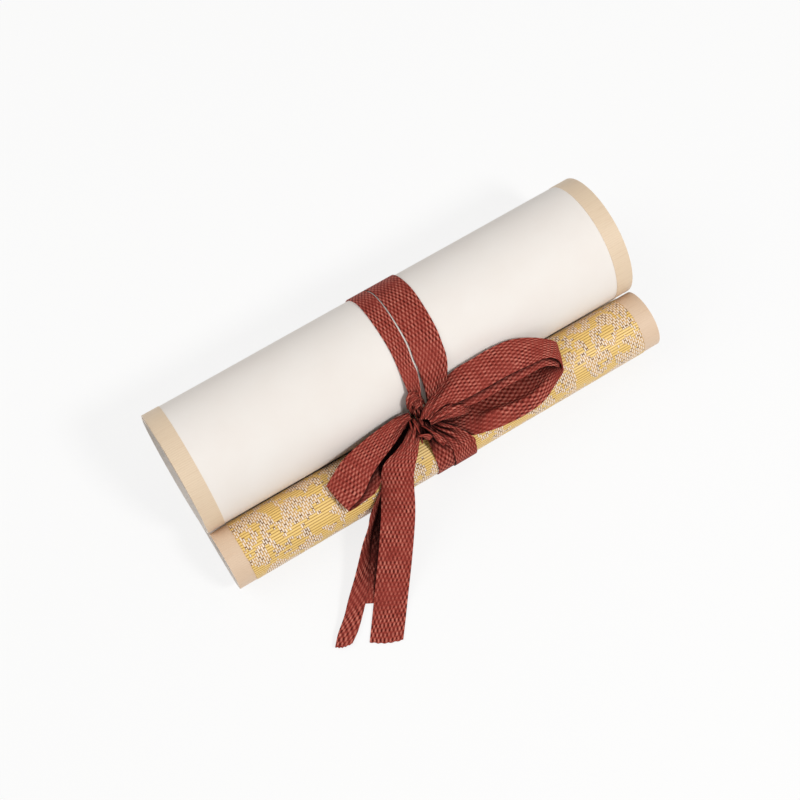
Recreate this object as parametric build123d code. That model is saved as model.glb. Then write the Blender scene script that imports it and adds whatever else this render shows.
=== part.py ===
from build123d import *
from math import acos, atan, atan2, ceil, cos, degrees, radians, sin, sqrt
import os

# A small hand scroll rolled up from both ends and tied with a ribbon.
# X runs along the rolls, the smaller brocade roll lies in front (-Y), and Z = 0 is the table.

# Driving dimensions in millimetres
scroll_height = 140.0        # length of both rolls, the sheet's short side
big_roll_radius = 18.2       # outside of the white paper roll
big_roll_turns = 1.8
small_roll_radius = 8.35     # outside of the paper in the brocade roll
small_roll_turns = 1.3
roll_gap = 1.3               # clear space between the two rolls
paper_thickness = 0.45
brocade_thickness = 0.25
brocade_reach = 21.0         # how far the brocade runs under the web towards the big roll
edging_width = 5.3
edging_thickness = 0.12
turn_slack = 0.3             # air between one turn and the next
ribbon_width = 9.5
ribbon_thickness = 0.35
ribbon_ease = 0.05           # clearance between the tied ribbon and the rolls
left_strand_start = -4.2     # x of the tie's left edge on the big roll
left_strand_show = 5.2       # part of the left strand that the right one leaves bare
strand_slit = 0.4
front_tie_start = -6.2       # x of the tie's left edge on the small roll
front_tie_width = 12.6       # the two strands lie over one another there
knot_x = -5.3
knot_share = 0.66            # where the knot sits on the free span, from the big roll
knot_length = 6.0            # along X
knot_width = 10.0            # down the span
knot_depth = 6.0
knot_ridges = 3
knob_share = 0.38            # the small upper lump of the knot, from the big roll
knob_length = 5.0
knob_width = 5.0
knob_depth = 3.2
knob_ridges = 2
ridge_rise = 0.5             # height of the gathers in both lumps
pinch_width = 4.0            # ribbon gathered where it enters the knot
right_loop_length = 41.2
right_loop_turn = 20.0       # degrees between the rolls and the way square to its fold
right_loop_slope = 0.15      # it hangs lower towards the front
right_loop_lift = 3.6        # upper layer above the knot's centre
loop_clearance = 0.55        # lower layers above the small roll
left_loop_length = 29.6
left_loop_drift = -2.8       # the fold lies further forward than the knot
left_loop_turn = 21.0        # degrees from the rolls' direction
loop_gap = 1.4               # between the two layers at the flat left fold
front_tail_run = 32.0        # on the table, past the small roll's front
front_tail_drift = -37.7     # how far it wanders along X
back_tail_run = 27.0         # this tail is creased lengthwise
back_tail_drift = -46.0
crease_level = 3.0           # its crease stands above the table at the end
narrow_flange = 2.8          # seen from above, on the left of the crease
wide_flange = 5.6

# Levels and places that follow from them
paper_level = ribbon_thickness + ribbon_ease + brocade_thickness
small_tied_radius = small_roll_radius + brocade_thickness
axis_distance = big_roll_radius + small_tied_radius + roll_gap
axis_offset = sqrt(axis_distance**2 - (big_roll_radius - small_tied_radius) ** 2)
big_axis_y = axis_offset / 2
small_axis_y = -axis_offset / 2
big_axis_z = paper_level + big_roll_radius
small_axis_z = paper_level + small_roll_radius
half_height = scroll_height / 2
big_pitch = paper_thickness + edging_thickness + turn_slack
small_pitch = paper_thickness + brocade_thickness + turn_slack

# The side view is drawn on this plane, with its x along the part's Y and its y along Z
side_view = Plane(origin=(0, 0, 0), x_dir=(0, 1, 0), z_dir=(1, 0, 0))


# One run of the rolled sheet's back face: half circles whose centres alternate half a pitch apart
def roll_path(axis_y, axis_z, radius, pitch, turns, sense):
    steps = []
    for i in range(ceil(turns * 2)):
        centre = (axis_y, axis_z + (pitch / 2 if i % 2 else 0))
        start = 90 if i % 2 else -90
        sweep = 180 * min(1, turns * 2 - i)
        steps.append((centre, radius - i * pitch / 2, start, sweep * sense))
    return steps


big_roll = roll_path(big_axis_y, big_axis_z, big_roll_radius, big_pitch, big_roll_turns, 1)
small_roll = roll_path(
    small_axis_y, small_axis_z, small_roll_radius, small_pitch, small_roll_turns, -1
)


# A layer of the sheet between two depths behind or in front of its back face, as one solid
def layer(rolled, web_ends, near, far, x_low, x_high):
    def edges_at(depth):
        lines = []
        for centre, radius, start, sweep in rolled:
            lines.append(CenterArc(centre, radius - depth, start, sweep))
        y_low, y_high = web_ends
        web = Line((y_low, paper_level + depth), (y_high, paper_level + depth))
        return lines, web

    near_arcs, near_web = edges_at(near)
    far_arcs, far_web = edges_at(far)
    near_ends = free_ends(near_arcs, near_web)
    far_ends = free_ends(far_arcs, far_web)
    caps = [Line(a, b) for a, b in zip(near_ends, far_ends)]
    outline = make_face(near_arcs + [near_web] + far_arcs + [far_web] + caps)
    return extrude(side_view.offset(x_low) * outline, x_high - x_low)


# The two loose ends of a chain made of a web line and the arcs of one or two rolls
def free_ends(arcs, web):
    points = [p for edge in arcs + [web] for p in (edge @ 0, edge @ 1)]
    ends = []
    for i, point in enumerate(points):
        others = points[:i] + points[i + 1 :]
        if min((point - other).length for other in others) > 1e-4:
            ends.append(point)
    return sorted(ends, key=lambda p: p.X)


web_span = (small_axis_y, big_axis_y)
scroll_sheet = layer(big_roll + small_roll, web_span, 0, paper_thickness, -half_height, half_height)

brocade_side = half_height - edging_width
brocade_web = (small_axis_y, small_axis_y + brocade_reach)
brocade_cover = layer(
    small_roll, brocade_web, -brocade_thickness, 0, -brocade_side, brocade_side
)

left_edging = layer(
    big_roll + small_roll, web_span, -edging_thickness, 0, -half_height, -brocade_side
)
right_edging = layer(
    big_roll + small_roll, web_span, -edging_thickness, 0, brocade_side, half_height
)

# The ribbon is drawn tight round both rolls, so its inner face follows two circles
tie_big_radius = big_roll_radius + ribbon_ease + brocade_thickness / 2
tie_big_z = big_axis_z - brocade_thickness / 2
tie_small_radius = small_tied_radius + ribbon_ease
tie_small_z = small_axis_z
span_direction = degrees(atan2(tie_small_z - tie_big_z, small_axis_y - big_axis_y)) % 360
span_length = sqrt(axis_offset**2 + (tie_big_z - tie_small_z) ** 2)
touch_angle = span_direction - degrees(acos((tie_big_radius - tie_small_radius) / span_length))
outward = Vector(0, cos(radians(touch_angle)), sin(radians(touch_angle)))
big_touch = Vector(0, big_axis_y, tie_big_z) + outward * tie_big_radius
small_touch = Vector(0, small_axis_y, tie_small_z) + outward * tie_small_radius


# Part of a circular wrap of the ribbon, between two angles seen from +X
def wrap(axis_y, axis_z, radius, start, sweep, x_low, x_high):
    inner = CenterArc((axis_y, axis_z), radius, start, sweep)
    outer = CenterArc((axis_y, axis_z), radius + ribbon_thickness, start, sweep)
    outline = make_face([inner, outer, Line(inner @ 0, outer @ 0), Line(inner @ 1, outer @ 1)])
    return extrude(side_view.offset(x_low) * outline, x_high - x_low)


# A flat stretch of the ribbon lying on the table under the web
def under_web(big_low, big_high, small_low, small_high):
    outline = Polyline(
        (big_low, big_axis_y),
        (big_high, big_axis_y),
        (small_high, small_axis_y),
        (small_low, small_axis_y),
        close=True,
    )
    return extrude(make_face(outline), ribbon_thickness)


# Where two arcs meet that join two points and keep to the way ahead at both, and the way there
def arc_joint(start, start_way, end, end_way):
    chord, ways = end - start, start_way + end_way
    bend, along = 2 - 2 * start_way.dot(end_way), chord.dot(ways)
    if bend < 1e-6:
        handle = chord.dot(chord) / (2 * along)
    else:
        handle = (sqrt(along**2 + bend * chord.dot(chord)) - along) / bend
    before, after = start + start_way * handle, end - end_way * handle
    return (before + after) / 2, (after - before).normalized()


# The ribbon seen from its edge, through stations given as a point and the way ahead in degrees
# Heights are squeezed where the view is square to a leaning sweep
def thin_profile(stations, squeeze):
    steps = []
    for point, angle in stations:
        point = Vector(point.X, point.Y * squeeze)
        way = Vector(cos(radians(angle)), sin(radians(angle)) * squeeze).normalized()
        if steps:
            steps.append(arc_joint(*steps[-1], point, way))
        steps.append((point, way))
    sides = []
    for shift in (-ribbon_thickness / 2, ribbon_thickness / 2):
        points = [point + Vector(-way.Y, way.X) * shift for point, way in steps]
        side = []
        for i in range(len(steps) - 1):
            chord, way = (points[i + 1] - points[i]).normalized(), steps[i][1]
            straight = abs(chord.X * way.Y - chord.Y * way.X) < 1e-4
            ends = points[i], points[i + 1]
            side.append(Line(*ends) if straight else TangentArc(*ends, tangent=way))
        sides.append(side)
    caps = [Line(sides[0][i] @ at, sides[1][i] @ at) for i, at in ((0, 0), (-1, 1))]
    return make_face(sides[0] + sides[1] + caps)


# A course lies on the table under a run of ribbon, with its x along the run and its y across it
def course_from(start, ahead):
    return Plane(origin=(start.X, start.Y, 0), x_dir=(ahead.X, ahead.Y, 0), z_dir=(0, 0, 1))


# The profile stood on its course and swept both ways across it, rising by a slope as it goes
def swept_ribbon(course, stations, slope):
    lean = (course.y_dir + Vector(0, 0, slope)).normalized()
    side_plane = Plane(origin=course.origin, x_dir=course.x_dir, z_dir=-lean)
    profile = thin_profile(stations, cos(atan(slope)))
    return extrude(side_plane * profile, ribbon_width * 3, both=True)


# The part of a swept ribbon that lies inside a plan outline, between two heights
def trimmed(course, swept, one_side, other_side, low, high):
    outline = make_face(Polyline(*one_side, *reversed(other_side), close=True))
    return swept & extrude(course.offset(low) * outline, high - low)


left_strand_end = left_strand_start + left_strand_show
right_strand_start = left_strand_end + strand_slit
right_strand_end = right_strand_start + ribbon_width
front_tie_end = front_tie_start + front_tie_width

big_sweep = touch_angle + 90
big_wrap = wrap(
    big_axis_y, tie_big_z, tie_big_radius, -90, big_sweep, left_strand_start, right_strand_end
)
# The slit between the strands opens above the roll's axis, and below it they lie over one another
slit_block = Pos((left_strand_end + right_strand_start) / 2, big_axis_y, tie_big_z + big_roll_radius)
slit_block = slit_block * Box(strand_slit, big_roll_radius * 3, big_roll_radius * 2)
big_wrap = big_wrap - slit_block
front_wrap = wrap(
    small_axis_y,
    tie_small_z,
    tie_small_radius,
    touch_angle,
    270 - touch_angle,
    front_tie_start,
    front_tie_end,
)
tie_under = under_web(left_strand_start, right_strand_end, front_tie_start, front_tie_end)

# The knot sits on the free span between the rolls, standing out from it
knot_seat = big_touch + (small_touch - big_touch) * knot_share
knot_centre = Vector(knot_x, knot_seat.Y, knot_seat.Z) + outward * (knot_depth / 2)
knob_seat = big_touch + (small_touch - big_touch) * knob_share
knob_centre = Vector(knot_x + knob_length / 4, knob_seat.Y, knob_seat.Z) + outward * (knob_depth / 2)
up_span = (big_touch - small_touch).normalized()


# A gathered lump: ridges side by side across it, rounded off along their length
def gathered_lump(centre, across_way, width, length, depth, ridges):
    plane = Plane(origin=centre, x_dir=across_way, z_dir=outward)
    step = width / ridges
    valley = depth / 2 - ridge_rise
    tops = []
    for i in range(ridges):
        left = i * step - width / 2
        tops.append(ThreePointArc((left, valley), (left + step / 2, depth / 2), (left + step, valley)))
    corners = [(-width / 2, -depth / 2), (width / 2, -depth / 2)]
    sides = [Line(tops[0] @ 0, corners[0]), Line(*corners), Line(corners[1], tops[-1] @ 1)]
    front = Plane(origin=centre, x_dir=plane.x_dir, z_dir=-plane.y_dir)
    ridged = extrude(front * make_face(tops + sides), length, both=True)
    arch = ThreePointArc((-length / 2, -depth / 2), (0, depth / 2), (length / 2, -depth / 2))
    side = Plane(origin=centre, x_dir=plane.y_dir, z_dir=plane.x_dir)
    return ridged & extrude(side * make_face([arch, Line(arch @ 0, arch @ 1)]), width, both=True)


knot = gathered_lump(knot_centre, Vector(1, 0, 0), knot_length, knot_width, knot_depth, knot_ridges)
knob = gathered_lump(knob_centre, up_span, knob_width, knob_length, knob_depth, knob_ridges)


# One strand of the tie, gathered in the plane of the span until it enters the knot
def span_strand(start_low, start_high, start, turn_share):
    pinched = knot_centre.X
    low = start_low + (pinched - pinch_width / 2 - start_low) * turn_share
    high = start_high + (pinched + pinch_width / 2 - start_high) * turn_share
    half_way = (start + knot_seat) / 2
    start_v, half_v, end_v = [(p - big_touch).length for p in (start, half_way, knot_seat)]
    outline = Polyline(
        (start_low, start_v),
        (low, half_v),
        (pinched - pinch_width / 2, end_v),
        (pinched + pinch_width / 2, end_v),
        (high, half_v),
        (start_high, start_v),
        close=True,
    )
    span_plane = Plane(origin=big_touch, x_dir=(1, 0, 0), z_dir=-outward)
    return extrude(span_plane * make_face(outline), -ribbon_thickness)


left_to_knot = span_strand(left_strand_start, left_strand_end, big_touch, 0.25)
right_to_knot = span_strand(right_strand_start, right_strand_end, big_touch, 0.2)
front_to_knot = span_strand(front_tie_start, front_tie_end, small_touch, 0.35)


# Lower layers pass over the small roll at this height
crest = small_axis_z + small_tied_radius + loop_clearance
above_all = big_axis_z + big_roll_radius
half_pinch = pinch_width / 2
half_ribbon = ribbon_width / 2


# Stations of a side view, from shares of a run's length and of a height above the crest
def raised(length, rise, shares):
    return [(Vector(length * u, crest + rise * v), slope) for u, v, slope in shares]


# Places on a course, in shares of a run's length and of the ribbon's width
def on_course(length, shares):
    return [(length * u, ribbon_width * v) for u, v in shares]


# Right loop: the upper layer leans back over the big roll, the ribbon turns over at the tip
# and comes back lower down, along the front of the small roll
# Its profile is given in shares of its length and height, its edges in shares of length and width
reach = right_loop_length
height = knot_centre.Z + right_loop_lift - crest
turn = radians(right_loop_turn)
right_course = course_from(knot_centre, Vector(cos(turn), sin(turn), 0))
right_shape = [
    (0.04, 0.60, 22),
    (0.58, 1.13, 0),
    (0.88, 0.93, -28),
    (0.998, 0.62, -90),
    (0.84, 0.25, -176),
    (0.40, 0.10, -180),
    (0.04, 0.46, -205),
]
right_swept = swept_ribbon(right_course, raised(reach, height, right_shape), right_loop_slope)
tip_back, tip_front = (1.03, -0.68), (1.03, -1.66)
upper_back = [(0.04, 0.25), (0.27, 0.5), (0.43, 0.47), (0.82, -0.2), (0.95, -0.44), tip_back]
upper_front = [(0.03, -0.15), (0.19, -0.12), (0.52, -0.66), (0.85, -1.32), tip_front]
lower_back = [(0.04, 0.2), (0.2, -0.19), (0.6, -0.87), (0.8, -1.03), (0.94, -0.9), tip_back]
lower_front = [(0.03, -0.2), (0.3, -1.16), (0.55, -1.7), (0.75, -1.92), (0.9, -1.85), tip_front]
turn_level = crest + height * 0.45
right_upper = trimmed(
    right_course,
    right_swept,
    on_course(reach, upper_back),
    on_course(reach, upper_front),
    turn_level,
    above_all,
)
right_lower = trimmed(
    right_course, right_swept, on_course(reach, lower_back), on_course(reach, lower_front), 0, turn_level
)
right_loop = right_upper + right_lower

# Left loop: flattened over the small roll, with a round fold at its end
fold_point = Vector(knot_x - left_loop_length, knot_centre.Y + left_loop_drift, 0)
turn = radians(left_loop_turn)
left_course = course_from(fold_point, Vector(-cos(turn), -sin(turn), 0))
root = left_course.to_local_coords(knot_centre)
reach, height = -root.X, knot_centre.Z - crest
left_shape = [
    (-1, 0.90, 5),
    (-0.81, 0.93, -8),
    (-0.3, 0.42, -8),
    (0, loop_gap / height, 0),
    (0, 0, -180),
    (-0.4, 0, -180),
    (-1, 0.55, -210),
]
left_swept = swept_ribbon(left_course, raised(reach, height, left_shape), 0)
root_share, past_fold = root.Y / ribbon_width, loop_gap / reach
left_back = [(-1, root_share - 0.3), (-0.81, -0.19), (-0.6, -0.46), (past_fold, -0.5)]
left_front = [(-1, root_share + 0.12), (-0.7, 0.59), (-0.4, 0.5), (past_fold, 0.5)]
left_loop = trimmed(
    left_course, left_swept, on_course(reach, left_back), on_course(reach, left_front), 0, above_all
)

# Tails: out of the knot, over the front of the small roll and down onto the table
roll_front = tie_small_radius + ribbon_thickness
table = ribbon_thickness / 2


# A place in plan beside the rolls: drift from the knot, how far over the roll, how far past it
def tail_place(drift, over, past):
    return Vector(knot_x + drift, small_axis_y - roll_front * over - past, 0)


shoulder = tail_place(front_tail_drift * 0.32, 0.61, 0)
tail_end = tail_place(front_tail_drift, 1, front_tail_run)
front_course = course_from(shoulder, tail_end - shoulder)
root = front_course.to_local_coords(knot_centre)
length = (tail_end - shoulder).length
front_shape = [
    (Vector(root.X, knot_centre.Z - half_pinch), -6),
    (Vector(0, crest * 1.08), -33),
    (Vector(length * 0.13, crest * 0.82), -43),
    (Vector(length * 0.47, crest * 0.25), -27),
    (Vector(length * 0.84, table), 0),
    (Vector(length, table), 0),
]
front_left = [(root.X, root.Y + half_pinch), (0, half_ribbon), (length, half_ribbon)]
front_right = [(root.X, root.Y - half_pinch), (0, -half_ribbon), (length, -half_ribbon)]
front_swept = swept_ribbon(front_course, front_shape, 0)
front_tail = trimmed(front_course, front_swept, front_left, front_right, 0, above_all)

# The back tail is creased lengthwise: two flanges slope down from its crease, and the wide one,
# under the front tail, ends first
brink = tail_place(back_tail_drift * 0.43, 0.95, 0)
tail_end = tail_place(back_tail_drift, 1, back_tail_run)
back_course = course_from(brink, tail_end - brink)
root = back_course.to_local_coords(knot_centre)
length = (tail_end - brink).length
wide_end = length * 0.68
wide_slope = (crease_level * 1.15 - table) / wide_flange
narrow_slope = (crease_level - ribbon_thickness) / narrow_flange
crease_shape = [
    (Vector(root.X, knot_centre.Z - half_pinch + root.Y * wide_slope), -30),
    (Vector(0, crest * 0.9), -40),
    (Vector(length * 0.45, crest * 0.31), -16),
    (Vector(length, crease_level), 0),
]
wide_swept = swept_ribbon(back_course, crease_shape, -wide_slope)
narrow_swept = swept_ribbon(back_course, crease_shape, narrow_slope)
wide_crease = [(root.X, root.Y - half_pinch), (length * -0.2, -table), (wide_end, -table)]
wide_edge = [(root.X, root.Y + half_pinch), (0, wide_flange), (wide_end, wide_flange)]
narrow_crease = [(0, table), (length, table)]
narrow_edge = [(0, -table), (length * 0.15, -narrow_flange), (length, -narrow_flange)]
back_tail = trimmed(back_course, wide_swept, wide_edge, wide_crease, 0, above_all)
back_tail = back_tail + trimmed(back_course, narrow_swept, narrow_crease, narrow_edge, 0, above_all)

tie = big_wrap + front_wrap + tie_under
tie = tie + left_to_knot + right_to_knot + front_to_knot
ribbon = tie + knot + knob + right_loop + left_loop + front_tail + back_tail

os.makedirs("parts", exist_ok=True)
nodes = {
    "scroll_sheet": scroll_sheet,
    "brocade_cover": brocade_cover,
    "left_edging": left_edging,
    "right_edging": right_edging,
    "ribbon": ribbon,
}
for name, solid in nodes.items():
    export_step(solid, f"parts/{name}.step")
    print(name, len(solid.solids()), round(solid.volume, 1))
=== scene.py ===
import math

import bpy
import numpy as np
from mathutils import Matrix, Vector


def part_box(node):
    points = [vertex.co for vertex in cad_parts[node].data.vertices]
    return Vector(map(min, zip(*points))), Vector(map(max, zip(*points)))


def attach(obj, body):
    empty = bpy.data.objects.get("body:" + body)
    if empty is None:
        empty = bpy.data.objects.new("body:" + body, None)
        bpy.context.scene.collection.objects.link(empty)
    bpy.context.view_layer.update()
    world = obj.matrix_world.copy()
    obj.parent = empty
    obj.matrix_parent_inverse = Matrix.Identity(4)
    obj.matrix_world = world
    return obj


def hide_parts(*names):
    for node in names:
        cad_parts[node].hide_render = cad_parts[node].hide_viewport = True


# A small hand scroll, rolled up from both ends and tied with a dark red woven ribbon.
# Sizes are in millimetres and turned to metres by one factor where a mesh is made.

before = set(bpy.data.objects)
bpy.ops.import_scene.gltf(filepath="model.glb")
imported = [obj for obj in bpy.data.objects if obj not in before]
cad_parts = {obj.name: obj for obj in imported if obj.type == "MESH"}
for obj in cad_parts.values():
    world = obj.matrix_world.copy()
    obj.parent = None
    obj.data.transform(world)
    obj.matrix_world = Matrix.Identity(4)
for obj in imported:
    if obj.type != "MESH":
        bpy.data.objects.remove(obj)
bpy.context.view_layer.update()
mm = 0.001

print("stage: camera")
cameraSetup = {
    "place": (-88.35, -134.96, 426.05),   # mm
    "azimuth": -31.64,                    # degrees, 0 looks along +Y
    "elevation": 68.86,                   # degrees above the table
    "lens": 70.19,                        # mm
    "sensor": 36.0,                       # mm across
}


def makeCamera(setup):
    azimuth = math.radians(setup["azimuth"])
    elevation = math.radians(setup["elevation"])
    back = Vector((
        math.sin(azimuth) * math.cos(elevation),
        -math.cos(azimuth) * math.cos(elevation),
        math.sin(elevation),
    ))
    data = bpy.data.cameras.new("camera")
    data.lens = setup["lens"]
    data.sensor_width = setup["sensor"]
    data.clip_start = 0.01
    data.clip_end = 20.0
    camera = bpy.data.objects.new("camera", data)
    camera.location = Vector(setup["place"]) * mm
    camera.rotation_mode = "QUATERNION"
    camera.rotation_quaternion = (-back).to_track_quat("-Z", "Y")
    bpy.context.scene.collection.objects.link(camera)
    bpy.context.scene.camera = camera


makeCamera(cameraSetup)


# helpers shared by all pieces
def toLinear(hexColour):
    channels = [int(hexColour[i:i + 2], 16) / 255 for i in (0, 2, 4)]
    return [c / 12.92 if c <= 0.04045 else ((c + 0.055) / 1.055) ** 2.4 for c in channels] + [1.0]


# adds one node, sets its properties, then fills its inputs with sockets or plain values
def addNode(tree, kind, inputs=None, **settings):
    node = tree.nodes.new(kind)
    for name, value in settings.items():
        setattr(node, name, value)
    for key, value in (inputs or {}).items():
        if isinstance(value, bpy.types.NodeSocket):
            tree.links.new(value, node.inputs[key])
        else:
            node.inputs[key].default_value = value
    return node


def calc(tree, operation, *values):
    node = addNode(tree, "ShaderNodeMath", dict(enumerate(values)), operation=operation)
    return node.outputs[0]


def blendColours(tree, amount, first, second):
    node = addNode(tree, "ShaderNodeMix", {0: amount, 6: first, 7: second}, data_type="RGBA")
    return node.outputs[2]


def newMaterial(name):
    material = bpy.data.materials.new(name)
    material.use_nodes = True
    material.node_tree.nodes.clear()
    return material, material.node_tree


def finishMaterial(tree, shader):
    addNode(tree, "ShaderNodeOutputMaterial", {"Surface": shader.outputs[0]})


# the place on the cloth or paper as if laid flat, in mm: the whole vector, then its number across
# the cloth, which on the sheet is the way of the rolls, and its number along the cloth
def clothPlace(tree):
    place = addNode(tree, "ShaderNodeUVMap", uv_map="flatPlace")
    parts = addNode(tree, "ShaderNodeSeparateXYZ", {0: place.outputs[0]})
    return place.outputs[0], parts.outputs[0], parts.outputs[1]


# the length of a line of points up to each of them
def lengthAlong(points):
    return np.r_[0, np.cumsum(np.linalg.norm(np.diff(points, axis=0), axis=1))]


# closed thin solids between pairs of point grids, with the flat place of each point as their map
class SolidMaker:
    def __init__(self):
        self.points, self.faces, self.places = [], [], []
        self.count = 0

    def addGrid(self, upper, lower, places):
        rows, columns = upper.shape[:2]
        size = rows * columns
        self.points += [upper.reshape(-1, 3), lower.reshape(-1, 3)]
        self.places += [places.reshape(-1, 2), places.reshape(-1, 2)]
        top = self.count + np.arange(size).reshape(rows, columns)
        low = top + size
        self.count += 2 * size
        for i in range(rows - 1):
            for j in range(columns - 1):
                a, b, c, d = top[i, j], top[i, j + 1], top[i + 1, j + 1], top[i + 1, j]
                e, f, g, h = low[i, j], low[i, j + 1], low[i + 1, j + 1], low[i + 1, j]
                self.faces.append((a, b, c, d))
                self.faces.append((h, g, f, e))
                if i == 0:
                    self.faces.append((b, a, e, f))
                if i == rows - 2:
                    self.faces.append((d, c, g, h))
                if j == 0:
                    self.faces.append((a, d, h, e))
                if j == columns - 2:
                    self.faces.append((c, b, f, g))

    def build(self, name, material, smoothAngle=60):
        points = np.concatenate(self.points) * mm
        places = np.concatenate(self.places)
        faces = np.array(self.faces, np.int32)
        mesh = bpy.data.meshes.new(name)
        mesh.from_pydata(points.tolist(), [], faces.tolist())
        layer = mesh.uv_layers.new(name="flatPlace")
        layer.uv.foreach_set("vector", places[faces.ravel()].astype(np.float32).ravel())
        mesh.shade_smooth()
        mesh.set_sharp_from_angle(angle=math.radians(smoothAngle))
        mesh.materials.append(material)
        made = bpy.data.objects.new(name, mesh)
        bpy.context.scene.collection.objects.link(made)
        return made


print("stage: rolled sheet")
sheetLow, sheetHigh = [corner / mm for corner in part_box("scroll_sheet")]
brocadeLow, brocadeHigh = [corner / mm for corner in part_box("brocade_cover")]
edgingLow, edgingHigh = [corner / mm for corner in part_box("right_edging")]

rolls = {
    "bigTurns": 1.8,
    "smallTurns": 1.3,
    "paper": 0.45,         # thickness with its backing
    "edging": 0.12,        # thickness
    "air": 0.3,            # gap between turns
    "stepFrom": 305,       # degrees of each turn at the full radius
    "bigValley": 285,      # degrees round each roll, from the web to the valley between the two
    "smallValley": 252,
    "sag": 0.5,            # how far the outer turns lean into the valley
    "sagReach": 34,        # degrees
    "unevenness": 0.10,    # how far the turns leave a true circle
    "slip": 0.2,           # how far inner turns slide out at the ends
    "step": 0.9,           # spacing of points along the sheet
    "columns": 34,         # points along the rolls
}
halfLength = (sheetHigh.x - sheetLow.x) / 2
webLevel = sheetLow.z
brocadeThickness = webLevel - brocadeLow.z
bigRadius = (sheetHigh.z - webLevel) / 2
bigAxis = (sheetHigh.y - bigRadius, webLevel + bigRadius)
smallRadius = (brocadeHigh.z - webLevel - brocadeThickness) / 2
smallAxis = (brocadeLow.y + brocadeThickness + smallRadius, webLevel + smallRadius)
bigPitch = rolls["paper"] + rolls["edging"] + rolls["air"]
smallPitch = rolls["paper"] + brocadeThickness + rolls["air"]
edgingWidth = edgingHigh.x - edgingLow.x
brocadeHalf = halfLength - edgingWidth


# one roll of the sheet seen from the side, from the web inwards; each turn keeps its radius and
# steps inwards underneath, out of sight
def rollPath(axis, radius, pitch, count, sense, valleyAt):
    turned = np.linspace(0, 360 * count, int(2 * math.pi * radius * count / rolls["step"]))
    inStep = np.clip((turned % 360 - rolls["stepFrom"]) / (360 - rolls["stepFrom"]), 0, 1)
    inwards = pitch * (turned // 360 + inStep ** 2 * (3 - 2 * inStep))
    inwards -= rolls["sag"] * np.exp(-((turned - valleyAt) / rolls["sagReach"]) ** 2)
    angles = np.radians(-90 + sense * turned)
    sides = np.stack([np.cos(angles), np.sin(angles)], 1)
    return np.array(axis) + sides * (radius - inwards)[:, None], sides, turned / 180


# the back face of the sheet from the inside of the big roll over the flat web to the inside of the
# small one: its points, the way out of the roll, half turns from the web and the length along it
def sheetPath():
    big = rollPath(bigAxis, bigRadius, bigPitch, rolls["bigTurns"], 1, rolls["bigValley"])
    small = rollPath(smallAxis, smallRadius, smallPitch, rolls["smallTurns"], -1, rolls["smallValley"])
    webCount = max(int((bigAxis[0] - smallAxis[0]) / rolls["step"]), 4)
    webY = np.linspace(bigAxis[0], smallAxis[0], webCount)
    web = np.stack([webY, np.full(webCount, webLevel)], 1)
    webSides = np.tile([0.0, -1.0], (webCount, 1))
    points = np.concatenate([big[0][::-1], web, small[0]])
    sides = np.concatenate([big[1][::-1], webSides, small[1]])
    turns = np.concatenate([-big[2][::-1], np.zeros(webCount), small[2]])
    apart = np.r_[True, np.linalg.norm(np.diff(points, axis=0), axis=1) > 1e-6]
    points, sides, turns = points[apart], sides[apart], turns[apart]
    return points, sides, turns, lengthAlong(points)


pathPoints, pathSides, pathTurns, pathAlong = sheetPath()
webStart = pathAlong[np.argmax(pathTurns == 0)]


# soft waves in mm that keep the turns from being true circles, the same for every layer of the
# sheet, so that none runs into the next
def unevenAt(along, x):
    wave = np.sin(along / 7.3 + 0.6 * np.sin(x / 31.0)) * 0.5
    wave += np.sin(along / 3.9 + x / 23.0 + 1.7) * 0.3
    wave += np.sin(x / 13.0 + along / 11.0) * 0.35
    return wave * rolls["unevenness"]


# inner turns slide a little along the rolls
def slipAt(turns):
    amount = np.clip(np.abs(turns) - 1.0, 0, 6)
    return np.where(turns < 0, -1.0, 1.0) * np.sin(amount * 1.1) * rolls["slip"]


# one face of a layer, at a depth below the sheet's back face, and the flat place of each point
def layerGrid(depth, xPlaces, rows):
    along = pathAlong[rows][:, None]
    x = xPlaces[None, :]
    wave = unevenAt(along, x) * np.clip(np.abs(pathTurns[rows]), 0, 1)[:, None]
    points = np.zeros((len(along), len(xPlaces), 3))
    points[..., 0] = x + slipAt(pathTurns[rows])[:, None]
    for axis in (0, 1):
        base = pathPoints[rows][:, axis][:, None]
        side = pathSides[rows][:, axis][:, None]
        points[..., axis + 1] = base - side * (depth - wave)
    places = np.zeros((len(along), len(xPlaces), 2))
    places[..., 0] = x
    places[..., 1] = along
    return points, places


def makeLayer(name, material, depths, xEnds, columns, rows):
    xPlaces = np.linspace(*xEnds, columns)
    outer, places = layerGrid(depths[0], xPlaces, rows)
    inner, _ = layerGrid(depths[1], xPlaces, rows)
    maker = SolidMaker()
    maker.addGrid(outer, inner, places)
    return maker.build(name, material)


# Xuan paper on a paper backing: soft, matt and faintly cloudy, with fine fibres
paperLook = {
    "colour": "F3EEE8",
    "cloudColour": "EDE4DC",
    "fibre": 0.35,         # mm
    "cloud": 14.0,         # mm
    "relief": 0.02,        # mm
}


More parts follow.
